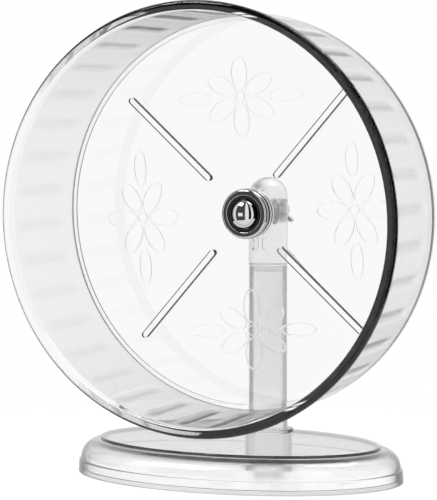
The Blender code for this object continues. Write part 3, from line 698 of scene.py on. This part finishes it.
drum = turned("drum", track_outline, axle_line, "Y", TRACK_STEPS)


def ease(share):
    share = max(0.0, min(1.0, share))
    return share * share * (3 - 2 * share)


def pad_share(point):
    """Share of a pad's full rise at a point, which is none off the track's inside."""
    across = point - Vector((0, point.y, axle_point.z))
    depth = point.y - rim_front
    if depth > PAD_FADE[1] or across.length > inner_radius(depth) + FINE_EDGE:
        return 0.0
    turn = (math.atan2(across.z, across.x) - math.radians(WHEEL_TURN)) * PAD_COUNT / math.tau
    aside = abs(turn - round(turn))
    front = ease((depth - PAD_FRONT[0]) / (PAD_FRONT[1] - PAD_FRONT[0]))
    back = 1 - ease((depth - PAD_FADE[0]) / (PAD_FADE[1] - PAD_FADE[0]))
    return ease(1 - aside / PAD_SHARE) * front * back


for vertex in drum.data.vertices:
    inwards = Vector((0, vertex.co.y, axle_point.z)) - vertex.co
    vertex.co += inwards.normalized() * PAD_RISE * pad_share(vertex.co)
smooth(drum)

# The pads are moulded with a matt face, for grip, which fades into the polished wall round them. Each finish
# has the share of a pad's rise that it starts from, its roughness, its colour, which is painted shade that
# greys the pads more towards their crests, and its colour in reflections, a painted reflection that shows
# the pads as darker bars.
PAD_FINISHES_AND_PAINTED_SHADE = ((0.06, 0.06, "#fcfcfc", "#f6f6f6"), (0.25, 0.10, "#f9f9fa", "#e8e8e8"),
                (0.5, 0.14, "#f6f6f7", "#dadada"), (0.75, 0.17, "#f3f3f5", "#cecece"))
clear_polystyrene = polystyrene("clear_polystyrene", roughness=0.0)
drum.data.materials.append(clear_polystyrene)
for number, (share, roughness, colour, mirrored) in enumerate(PAD_FINISHES_AND_PAINTED_SHADE):
    drum.data.materials.append(polystyrene(
        "satin_painted_shade_pad_%d" % (number + 1), roughness, colour=colour, mirrored=mirrored))
# Painted reflection: the rim's bead shows as a dark band wherever another piece mirrors it.
drum.data.materials.append(polystyrene("rim_polystyrene", roughness=0.0, mirrored="#303030"))
for face in drum.data.polygons:
    rise = pad_share(face.center)
    face.material_index = sum(rise > finish[0] for finish in PAD_FINISHES_AND_PAINTED_SHADE)
    radius = math.hypot(face.center.x, face.center.z - axle_point.z)
    if face.center.y < bead_back and radius > track_inner + FACE_MARGIN:
        face.material_index = len(PAD_FINISHES_AND_PAINTED_SHADE) + 1
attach(drum, "wheel")
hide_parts("running_track")


# Back disc: a flat moulding in clear polystyrene, bonded behind the seat at the back of the track. Four
# round-ended spokes stand up from its front on hollow-curved feet.

DISC_HOLE = 13.3 * MM
SPOKE_COUNT = 4
SPOKE_ANGLE = 45
SPOKE_START = 29.5 * MM
SPOKE_END = 107 * MM
SPOKE_WIDTH = 6.8 * MM
SPOKE_CREST = 3.8 * MM
SPOKE_HEIGHT = 4.2 * MM
SPOKE_FOOT = 0.8 * MM
SPOKE_TOE = 80
SPOKE_BROW = 0.12 * MM
SPOKE_ROOT = 0.6 * MM
SPOKE_SKIRT = 0.03 * MM
SPOKE_STEPS = 56
DISC_STEPS = 192
disc_outline = rounded([
    (DISC_HOLE, disc_front, FINE_EDGE), (disc_edge, disc_front, FINE_EDGE),
    (disc_edge, disc_back, BROKEN_EDGE), (DISC_HOLE, disc_back, FINE_EDGE)])
clear_disc = turned("clear_disc", disc_outline, axle_line, "Y", DISC_STEPS)


def copy_round(count, centre):
    """Copy what is selected round a line along Y, so that it stands there a number of times."""
    for number in range(count - 1):
        bpy.ops.mesh.duplicate()
        bpy.ops.transform.rotate(value=math.tau / count, orient_axis="Y", center_override=centre)


half_width = SPOKE_WIDTH / 2
half_crest = SPOKE_CREST / 2
spoke_outline = [
    (0, disc_front + SPOKE_ROOT), (half_width, disc_front + SPOKE_ROOT),
    (half_width, disc_front + SPOKE_SKIRT)]
spoke_outline += bow((half_width, disc_front - SPOKE_FOOT), (half_crest - half_width, SPOKE_FOOT),
                     SPOKE_TOE, 0, CORNER_STEPS)
spoke_outline += bow((half_crest - SPOKE_BROW, disc_front - SPOKE_HEIGHT + SPOKE_BROW),
                     (SPOKE_BROW, -SPOKE_BROW), 0, 90, CORNER_STEPS)
spoke_outline.append((0, disc_front - SPOKE_HEIGHT))
spokes = turned("spokes", spoke_outline, (SPOKE_START + half_width, 0, axle_point.z), "Y", SPOKE_STEPS)
stretch_points(spokes, lambda point: point.x > SPOKE_START + half_width + MERGE_GAP,
               (SPOKE_END - SPOKE_START - SPOKE_WIDTH, 0, 0))
bpy.ops.object.mode_set(mode="EDIT")
bpy.ops.mesh.select_all(action="SELECT")
bpy.ops.transform.rotate(
    value=math.radians(SPOKE_ANGLE + WHEEL_TURN), orient_axis="Y", center_override=axle_line)
copy_round(SPOKE_COUNT, axle_line)
bpy.ops.object.mode_set(mode="OBJECT")
combine(clear_disc, spokes, "UNION")

# A flower with a leaf on each side is moulded in thin raised lines between each two spokes. Petals, leaves
# and eye are rings: each has a half length, half width, distance from the middle, angle and count.
LINE_RADIUS = 0.4 * MM
LINE_STEPS = 12
PETAL_STEPS = 48
FLOWER_PLACE = 72 * MM
PETAL = (10.0 * MM, 5.2 * MM, 14.6 * MM, 0, 6)
LEAF = (11.0 * MM, 4.0 * MM, 31.0 * MM, 90, 2)
EYE = (3.0 * MM, 3.0 * MM, 0, 0, 1)
lines = add_piece("lines", bpy.ops.mesh.primitive_plane_add, size=MM)
bpy.ops.mesh.delete(type="VERT")
for half_length, half_ring, along, angle, count in (PETAL, LEAF, EYE):
    bpy.ops.mesh.primitive_torus_add(
        major_segments=PETAL_STEPS, minor_segments=LINE_STEPS, major_radius=half_ring,
        minor_radius=LINE_RADIUS, location=(0, 0, 0), rotation=(math.pi / 2, 0, 0))
    bpy.ops.transform.resize(value=(half_length / half_ring, 1, 1), center_override=(0, 0, 0))
    bpy.ops.transform.translate(value=(along, 0, 0))
    bpy.ops.transform.rotate(value=math.radians(angle), orient_axis="Y", center_override=(0, 0, 0))
    copy_round(count, (0, 0, 0))
bpy.ops.mesh.select_all(action="SELECT")
bpy.ops.transform.translate(value=(FLOWER_PLACE, disc_front, axle_point.z))
bpy.ops.transform.rotate(value=math.radians(WHEEL_TURN), orient_axis="Y", center_override=axle_line)
copy_round(SPOKE_COUNT, axle_line)
bpy.ops.object.mode_set(mode="OBJECT")
combine(clear_disc, lines, "UNION")
smooth(clear_disc)
# Painted reflection: the disc is greyed where the drum's walls mirror it, which darkens the walls' inside.
disc_polystyrene = polystyrene("disc_polystyrene", roughness=0.0, mirrored="#dadada")
clear_disc.data.materials.append(disc_polystyrene)
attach(clear_disc, "wheel")
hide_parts("back_disc")


# Cap nut: a domed nut turned from metal and chrome plated, with a small round rim at its foot. It is fixed on
# the axle's front end and holds the bearing there.

cap_low, cap_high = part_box("axle_cap_nut")
CAP_RIM = 0.9 * MM
CAP_BORE = 4.0 * MM
CAP_BORE_DEPTH = 3.4 * MM
CAP_STEPS = 20
cap_radius = cap_high.x
cap_shoulder = cap_high.y - CAP_RIM
cap_outline = rounded([
    (0, cap_high.y - CAP_BORE_DEPTH, 0), (CAP_BORE, cap_high.y - CAP_BORE_DEPTH, FINE_EDGE),
    (CAP_BORE, cap_high.y, FINE_EDGE), (cap_radius, cap_high.y, BROKEN_EDGE), (cap_radius, cap_shoulder, 0)],
    closed=False)
cap_outline += bow((0, cap_shoulder), (cap_radius, cap_shoulder - cap_low.y), 0, -90, CAP_STEPS)[1:]
dome_nut = turned("dome_nut", cap_outline, axle_line, "Y")
smooth(dome_nut)
dome_nut.data.materials.append(chrome_plate)
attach(dome_nut, "stand")
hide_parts("axle_cap_nut")


# Wing nut: a cast nut, chrome plated, that pulls the axle's tail through the bracket. Two rounded wings stand
# on its barrel.

nut_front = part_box("wing_nut")[0].y
NUT_BORE = 3.0 * MM
NUT_RADIUS = 6.0 * MM
NUT_LENGTH = 7.0 * MM
NUT_TAPER = 0.6 * MM
WING_SPAN = 24 * MM
WING_HEIGHT = 7.5 * MM
WING_LIFT = 1.5 * MM
WING_THICKNESS = 2.6 * MM
WING_DROP = 4.25 * MM
WING_BACK = 3 * MM
WING_ROUND = 2.25 * MM
WING_ROOT = 2 * MM
WING_EDGE = 0.7 * MM
WING_EDGE_STEPS = 4
WING_CREASE = 50
WING_ANGLE = -45
WING_COUNT = 2
barrel_outline = rounded([
    (NUT_BORE, nut_front, BROKEN_EDGE), (NUT_RADIUS, nut_front, EASED_EDGE),
    (NUT_RADIUS - NUT_TAPER, nut_front + NUT_LENGTH, FULL_EDGE),
    (NUT_BORE, nut_front + NUT_LENGTH, BROKEN_EDGE)])
thumb_nut = turned("thumb_nut", barrel_outline, axle_line, "Y")
wing_corners = rounded([
    (NUT_RADIUS - WING_ROOT, WING_LIFT, 0), (NUT_RADIUS, WING_LIFT, 0),
    (WING_SPAN / 2, WING_LIFT + WING_HEIGHT - WING_DROP, WING_ROUND),
    (WING_SPAN / 2 - WING_BACK, WING_LIFT + WING_HEIGHT, WING_ROUND),
    (NUT_RADIUS - WING_ROOT, NUT_LENGTH - WING_LIFT, 0)], closed=False)
wings = add_piece("wings", bpy.ops.mesh.primitive_plane_add, size=MM)
bpy.ops.mesh.merge(type="CENTER")
bpy.ops.transform.translate(
    value=(wing_corners[0].x, nut_front + wing_corners[0].y, axle_point.z - WING_THICKNESS / 2))
for start, end in zip(wing_corners, wing_corners[1:]):
    step = (end.x - start.x, end.y - start.y, 0)
    bpy.ops.mesh.extrude_vertices_move(TRANSFORM_OT_translate={"value": step})
bpy.ops.mesh.select_all(action="SELECT")
bpy.ops.mesh.edge_face_add()
bpy.ops.mesh.extrude_region_move(TRANSFORM_OT_translate={"value": (0, 0, WING_THICKNESS)})
bpy.ops.mesh.select_all(action="SELECT")
bpy.ops.transform.rotate(value=math.radians(WING_ANGLE), orient_axis="Y", center_override=axle_line)
copy_round(WING_COUNT, axle_line)
close_piece()
apply_modifier(
    wings, "BEVEL", width=WING_EDGE, segments=WING_EDGE_STEPS, limit_method="ANGLE",
    angle_limit=math.radians(WING_CREASE))
combine(thumb_nut, wings, "UNION")

# Triangles keep the many-sided faces along the joint from folding over each other.
apply_modifier(thumb_nut, "TRIANGULATE")
smooth(thumb_nut)
thumb_nut.data.materials.append(chrome_plate)
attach(thumb_nut, "wing_nut")
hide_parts("wing_nut")


# Studio: a pale floor, a white surround, soft lamps and the camera. Mirrors see light and dark boards, given
# by share of a turn round the studio, and a bright window with a turn, half width, height and half height.

FLOOR_RADIUS = 0.32
FLOOR_GAP = 0.4 * MM
FLOOR_GLOW = 0.87
FILL_LIGHT = 0.75
BOARDS = ((0.05, "#202020"), (0.07, "#ffffff"), (0.11, "#ffffff"), (0.12, "#4c4c4c"), (0.235, "#4c4c4c"),
          (0.245, "#ffffff"), (0.29, "#ffffff"), (0.30, "#161616"), (0.345, "#161616"), (0.355, "#ffffff"),
          (0.41, "#ffffff"), (0.43, "#141414"), (0.57, "#141414"), (0.60, "#ffffff"), (0.93, "#ffffff"),
          (0.95, "#202020"))
WINDOW = (0.18, 0.028, -0.06, 0.11)
floor = add_piece("floor", bpy.ops.mesh.primitive_circle_add, vertices=ROUND_STEPS, radius=FLOOR_RADIUS,
                  fill_type="NGON", location=(0, 0, -FLOOR_GAP))
bpy.ops.object.mode_set(mode="OBJECT")
white_floor = new_material("white_floor")
tree = white_floor.node_tree
glow = add_node(tree, "ShaderNodeEmission", {"Color": linear("#ffffff"), "Strength": FLOOR_GLOW})
paint = add_node(tree, "ShaderNodeBsdfDiffuse", {"Color": linear("#707070")})
both = add_node(tree, "ShaderNodeAddShader", {0: glow.outputs["Emission"], 1: paint.outputs["BSDF"]})
add_node(tree, "ShaderNodeOutputMaterial", {"Surface": both.outputs["Shader"]})
floor.data.materials.append(white_floor)

world = bpy.data.worlds.new("studio")
bpy.context.scene.world = world
world.use_nodes = True
tree = world.node_tree
tree.nodes.clear()
ray = add_node(tree, "ShaderNodeLightPath", {})
seen = add_node(tree, "ShaderNodeMath", {
    0: ray.outputs["Is Camera Ray"], 1: ray.outputs["Is Transmission Ray"]}, operation="MAXIMUM")
direction = add_node(tree, "ShaderNodeTexCoord", {})
turn = add_node(
    tree, "ShaderNodeTexGradient", {"Vector": direction.outputs["Generated"]}, gradient_type="RADIAL")
boards = add_node(tree, "ShaderNodeValToRGB", {"Fac": turn.outputs["Fac"]})
boards.color_ramp.elements.remove(boards.color_ramp.elements[1])
boards.color_ramp.elements[0].color = linear(BOARDS[0][1])
for share, tone in BOARDS:
    boards.color_ramp.elements.new(share).color = linear(tone)
level = add_node(tree, "ShaderNodeSeparateXYZ", {"Vector": direction.outputs["Generated"]})
window_width = add_node(tree, "ShaderNodeMath", {
    0: turn.outputs["Fac"], 1: WINDOW[0], 2: WINDOW[1]}, operation="COMPARE")
window_height = add_node(tree, "ShaderNodeMath", {
    0: level.outputs["Z"], 1: WINDOW[2], 2: WINDOW[3]}, operation="COMPARE")
window = add_node(tree, "ShaderNodeMath", {
    0: window_width.outputs["Value"], 1: window_height.outputs["Value"]}, operation="MULTIPLY")
surround = add_node(tree, "ShaderNodeBackground", {"Color": linear("#ffffff"), "Strength": 1.0})
mirrored = add_node(tree, "ShaderNodeBackground", {"Color": boards.outputs["Color"], "Strength": 1.0})
mirrored = add_node(tree, "ShaderNodeMixShader", {
    0: window.outputs["Value"], 1: mirrored.outputs["Background"], 2: surround.outputs["Background"]})
fill = add_node(tree, "ShaderNodeBackground", {"Color": linear("#ffffff"), "Strength": FILL_LIGHT})
either = add_node(tree, "ShaderNodeMixShader", {
    0: ray.outputs["Is Glossy Ray"], 1: fill.outputs["Background"], 2: mirrored.outputs["Shader"]})
either = add_node(tree, "ShaderNodeMixShader", {
    0: seen.outputs["Value"], 1: either.outputs["Shader"], 2: surround.outputs["Background"]})
add_node(tree, "ShaderNodeOutputWorld", {"Surface": either.outputs["Shader"]})

LAMP_POWER = 14.0
LAMP_AIM = Vector((0, 0, 0.12))
for name, place_at, size in (("key_lamp", (-0.9, -1.2, 1.6), 0.7), ("top_lamp", (0.5, 0.4, 1.9), 0.9)):
    bpy.ops.object.light_add(type="AREA", location=place_at)
    lamp = bpy.context.object
    lamp.name = lamp.data.name = name
    lamp.data.size = size
    lamp.data.energy = LAMP_POWER
    lamp.rotation_euler = (LAMP_AIM - Vector(place_at)).to_track_quat("-Z", "Y").to_euler()

CAMERA_PLACE = Vector((0.7022, -1.4791, 0.2627))
CAMERA_AIM = Vector((-0.0149, 0.0020, 0.13855))
bpy.ops.object.camera_add(location=CAMERA_PLACE)
camera = bpy.context.object
camera.rotation_euler = (CAMERA_AIM - CAMERA_PLACE).to_track_quat("-Z", "Y").to_euler()
camera.data.sensor_width = 36.0
camera.data.lens = 192.97
bpy.context.scene.camera = camera
bpy.context.scene.view_settings.view_transform = "Standard"

# Light that the clear walls would reflect inside themselves stops there, which draws the dark lines along the
# rim and the spokes.
bpy.context.scene.cycles.max_bounces = 32
bpy.context.scene.cycles.transmission_bounces = 32
bpy.context.scene.cycles.glossy_bounces = 0
